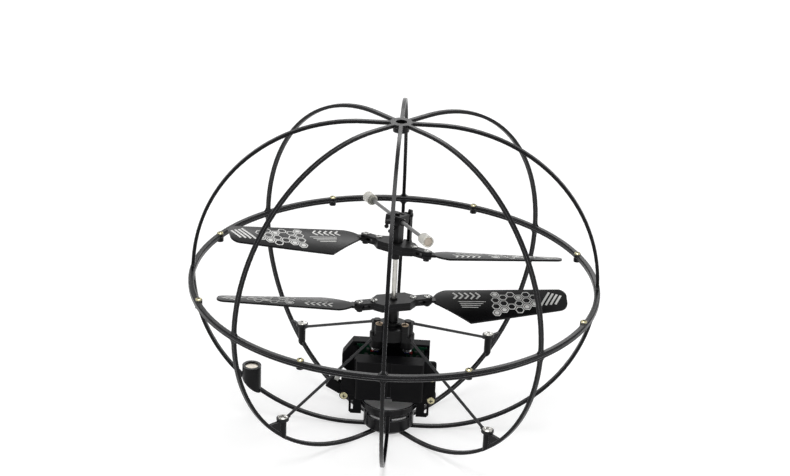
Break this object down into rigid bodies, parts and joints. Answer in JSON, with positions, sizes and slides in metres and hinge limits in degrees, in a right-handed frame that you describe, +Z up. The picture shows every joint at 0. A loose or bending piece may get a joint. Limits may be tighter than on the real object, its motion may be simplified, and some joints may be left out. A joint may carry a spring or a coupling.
{
  "type": "remote control helicopter",
  "caption": "Toy helicopter with coaxial folding rotors, a flybar and geared motors, carried on struts inside a round ribbed cage.",
  "frame": {"origin": "middle of the flat foot under the cage", "axes": "+Z up along the rotor shafts, -Y to the front where the battery box is, +X to the right"},
  "size_m": [0.1774, 0.1772, 0.146],
  "materials": {
    "black_plastic": "satin moulded plastic",
    "dark_plastic": "satin moulded plastic",
    "brass_screw": "plated, polished",
    "steel_screw": "bright",
    "shaft_steel": "ground",
    "weight_metal": "knurled",
    "blade_plastic": "satin, printed in white",
    "bronze": "sintered",
    "motor_steel": "drawn can",
    "gear_plastic": "natural nylon",
    "pinion_brass": "cut",
    "pale_plastic": "matte",
    "board_green": "solder mask",
    "chip_black": "moulded",
    "battery_wrap": "foil",
    "switch_black": "moulded",
    "wire_red": "insulation",
    "wire_blue": "insulation",
    "slider_white": "moulded"
  },
  "bodies": {
    "airframe": {"cage_upper": "black_plastic", "cage_lower": "black_plastic", "cage_screws": "brass_screw", "trim_weight": "pale_plastic", "ballast_disc": "weight_metal", "strut_right_back": "black_plastic", "strut_left_back": "black_plastic", "strut_left_front": "black_plastic", "strut_right_front": "black_plastic", "strut_screws": "steel_screw", "gearbox_lower": "black_plastic", "gearbox_cap": "black_plastic", "gearbox_screws": "brass_screw", "inner_bearing": "bronze", "outer_bearing": "bronze", "motor_left": "motor_steel", "motor_right": "motor_steel", "main_frame": "black_plastic", "battery_cover": "dark_plastic", "battery": "battery_wrap", "side_bracket_left": "black_plastic", "side_bracket_right": "black_plastic", "cover_screws": "brass_screw", "circuit_board": "board_green", "board_components": "chip_black", "rear_cover": "dark_plastic", "switch_body": "switch_black", "motor_wires_red": "wire_red", "motor_wires_blue": "wire_blue"},
    "lower_rotor": {"outer_shaft": "shaft_steel", "outer_gear": "gear_plastic", "lower_hub_bottom": "black_plastic", "lower_hub_top": "black_plastic", "lower_hub_screws": "steel_screw", "lower_blade_screws": "steel_screw"},
    "lower_left_blade": {"lower_blade_left": "blade_plastic"},
    "lower_right_blade": {"lower_blade_right": "blade_plastic"},
    "upper_rotor": {"inner_shaft": "shaft_steel", "inner_gear": "gear_plastic", "rotor_mast": "black_plastic"},
    "upper_grip": {"hub_pin": "shaft_steel", "upper_grip_bottom": "black_plastic", "upper_grip_top": "black_plastic", "upper_hub_screws": "steel_screw", "upper_blade_screws": "steel_screw"},
    "upper_left_blade": {"upper_blade_left": "blade_plastic"},
    "upper_right_blade": {"upper_blade_right": "blade_plastic"},
    "flybar": {"flybar_pin": "shaft_steel", "flybar_hub": "black_plastic", "flybar_rods": "shaft_steel", "flybar_weights": "dark_plastic", "flybar_collars": "pale_plastic"},
    "link": {"push_link": "black_plastic"},
    "left_pinion": {"motor_shaft_left": "shaft_steel", "pinion_left": "pinion_brass"},
    "right_pinion": {"motor_shaft_right": "shaft_steel", "pinion_right": "pinion_brass"},
    "slider": {"switch_slider": "slider_white"}
  },
  "joints": [
    {"name": "lower_rotor_spin", "type": "hinge", "parent": "airframe", "child": "lower_rotor", "pos_m": [0, 0, 0.0617], "axis": [0, 0, 1], "continuous": true},
    {"name": "upper_rotor_spin", "type": "hinge", "parent": "airframe", "child": "upper_rotor", "pos_m": [0, 0, 0.0889], "axis": [0, 0, 1], "continuous": true},
    {"name": "left_pinion_spin", "type": "hinge", "parent": "airframe", "child": "left_pinion", "pos_m": [-0.00675, 0, 0.045], "axis": [0, 0, 1], "continuous": true},
    {"name": "right_pinion_spin", "type": "hinge", "parent": "airframe", "child": "right_pinion", "pos_m": [0.00675, 0, 0.045], "axis": [0, 0, 1], "continuous": true},
    {"name": "lower_right_fold", "type": "hinge", "parent": "lower_rotor", "child": "lower_right_blade", "pos_m": [0.0145, 0.00457, 0.0617], "axis": [0, 0, 1], "range_deg": [-49, 70]},
    {"name": "lower_left_fold", "type": "hinge", "parent": "lower_rotor", "child": "lower_left_blade", "pos_m": [-0.0145, -0.00457, 0.0617], "axis": [0, 0, 1], "range_deg": [-43, 77]},
    {"name": "feather", "type": "hinge", "parent": "upper_rotor", "child": "upper_grip", "pos_m": [0, 0, 0.0889], "axis": [0.8829, -0.4695, 0], "range_deg": [-3, 21]},
    {"name": "upper_right_fold", "type": "hinge", "parent": "upper_grip", "child": "upper_right_blade", "pos_m": [0.01342, -0.00714, 0.0889], "axis": [0.0734, 0.1381, 0.9877], "range_deg": [-106, 14]},
    {"name": "upper_left_fold", "type": "hinge", "parent": "upper_grip", "child": "upper_left_blade", "pos_m": [-0.01342, 0.00714, 0.0889], "axis": [0.0734, 0.1381, 0.9877], "range_deg": [-108, 12]},
    {"name": "flybar_rock", "type": "hinge", "parent": "upper_rotor", "child": "flybar", "pos_m": [0, 0, 0.1018], "axis": [0.8829, -0.4695, 0], "range_deg": [-3, 21]},
    {"name": "link_pivot", "type": "hinge", "parent": "flybar", "child": "link", "pos_m": [0.0039, 0.00732, 0.10049], "axis": [0.8829, -0.4695, 0], "range_deg": [-21, 3]},
    {"name": "power_switch", "type": "slide", "parent": "airframe", "child": "slider", "axis": [0.866, 0, -0.5], "range_m": [0, 0.0018]}
  ],
  "couplings": [
    {"joint": "right_pinion_spin", "follows": "lower_rotor_spin", "ratio": -5},
    {"joint": "left_pinion_spin", "follows": "upper_rotor_spin", "ratio": -5},
    {"joint": "flybar_rock", "follows": "feather", "ratio": 1},
    {"joint": "link_pivot", "follows": "feather", "ratio": -1}
  ]
}
